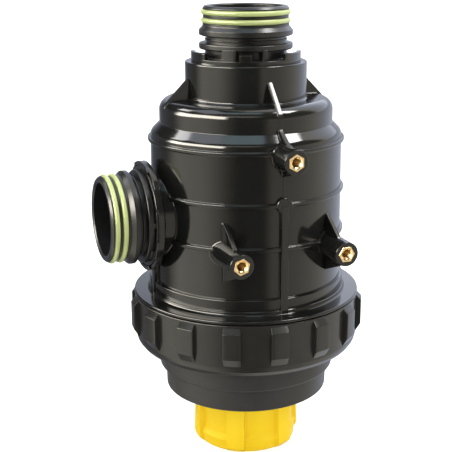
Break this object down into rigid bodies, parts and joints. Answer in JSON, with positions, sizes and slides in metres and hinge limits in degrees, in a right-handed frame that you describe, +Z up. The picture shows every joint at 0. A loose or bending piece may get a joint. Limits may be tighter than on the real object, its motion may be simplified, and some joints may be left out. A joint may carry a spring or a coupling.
{
  "type": "suction filter",
  "caption": "Suction line filter: ribbed moulded housing with top and side ring-sealed spigots, boss mounts, grip ring nut, screen bowl and a yellow knob that works a closing valve.",
  "frame": {"origin": "centre of the valve knob's underside, on the main axis", "axes": "+Z up the main axis towards the top spigot; -X along the side spigot; -Y out of the mounting bosses"},
  "size_m": [0.1923, 0.1731, 0.3207],
  "materials": {
    "housing_black": "semi-gloss moulded black, fine moulding grain",
    "spigot_black": "semi-gloss moulded black",
    "nut_black": "satin moulded black",
    "bowl_black": "satin moulded black",
    "knob_yellow": "semi-gloss moulded yellow",
    "seal_green": "smooth yellow-green rubber",
    "seal_black": "smooth black rubber",
    "brass": "bright turned brass",
    "stainless": "fine stainless steel",
    "inner_plastic": "plain grey moulding",
    "cage_blue": "plain blue moulding"
  },
  "bodies": {
    "housing": {"housing": "housing_black", "top_spigot": "spigot_black", "top_spigot_seal_outer": "seal_green", "top_spigot_seal_inner": "seal_green", "top_spigot_body_seal": "seal_black", "side_spigot": "spigot_black", "side_spigot_seal_outer": "seal_green", "side_spigot_seal_inner": "seal_green", "side_spigot_body_seal": "seal_black", "mounting_insert_top": "brass", "mounting_insert_left": "brass", "mounting_insert_right": "brass", "valve_guide": "inner_plastic"},
    "bowl": {"bowl": "bowl_black", "bowl_seal": "seal_black", "cartridge_cage": "cage_blue", "cartridge_mesh": "stainless", "cartridge_top_gasket": "seal_black", "cartridge_bottom_gasket": "seal_black"},
    "ring_nut": {"ring_nut": "nut_black"},
    "valve_stem": {"valve_stem": "inner_plastic"},
    "valve_knob": {"valve_knob": "knob_yellow", "knob_seal": "seal_black", "stem_clip": "stainless"},
    "valve_disc": {"valve_disc": "inner_plastic", "valve_disc_seal": "seal_black", "valve_spring": "stainless"}
  },
  "joints": [
    {"name": "bowl_travel", "type": "slide", "parent": "housing", "child": "bowl", "axis": [0, 0, -1], "range_m": [0, 0.018]},
    {"name": "ring_nut_turn", "type": "hinge", "parent": "bowl", "child": "ring_nut", "pos_m": [0, 0, 0.098], "axis": [0, 0, -1], "range_deg": [0, 1080]},
    {"name": "stem_travel", "type": "slide", "parent": "bowl", "child": "valve_stem", "axis": [0, 0, -1], "range_m": [0, 0.012]},
    {"name": "knob_turn", "type": "hinge", "parent": "valve_stem", "child": "valve_knob", "pos_m": [0, 0, 0.02], "axis": [0, 0, -1], "range_deg": [0, 360]},
    {"name": "disc_travel", "type": "slide", "parent": "housing", "child": "valve_disc", "axis": [0, 0, -1], "range_m": [0, 0.012], "deforming": ["valve_spring"]}
  ],
  "couplings": [
    {"joint": "bowl_travel", "follows": "ring_nut_turn", "m_per_rad": 0.00095493},
    {"joint": "stem_travel", "follows": "knob_turn", "m_per_rad": 0.0019099},
    {"joint": "disc_travel", "follows": "knob_turn", "m_per_rad": 0.0019099}
  ]
}
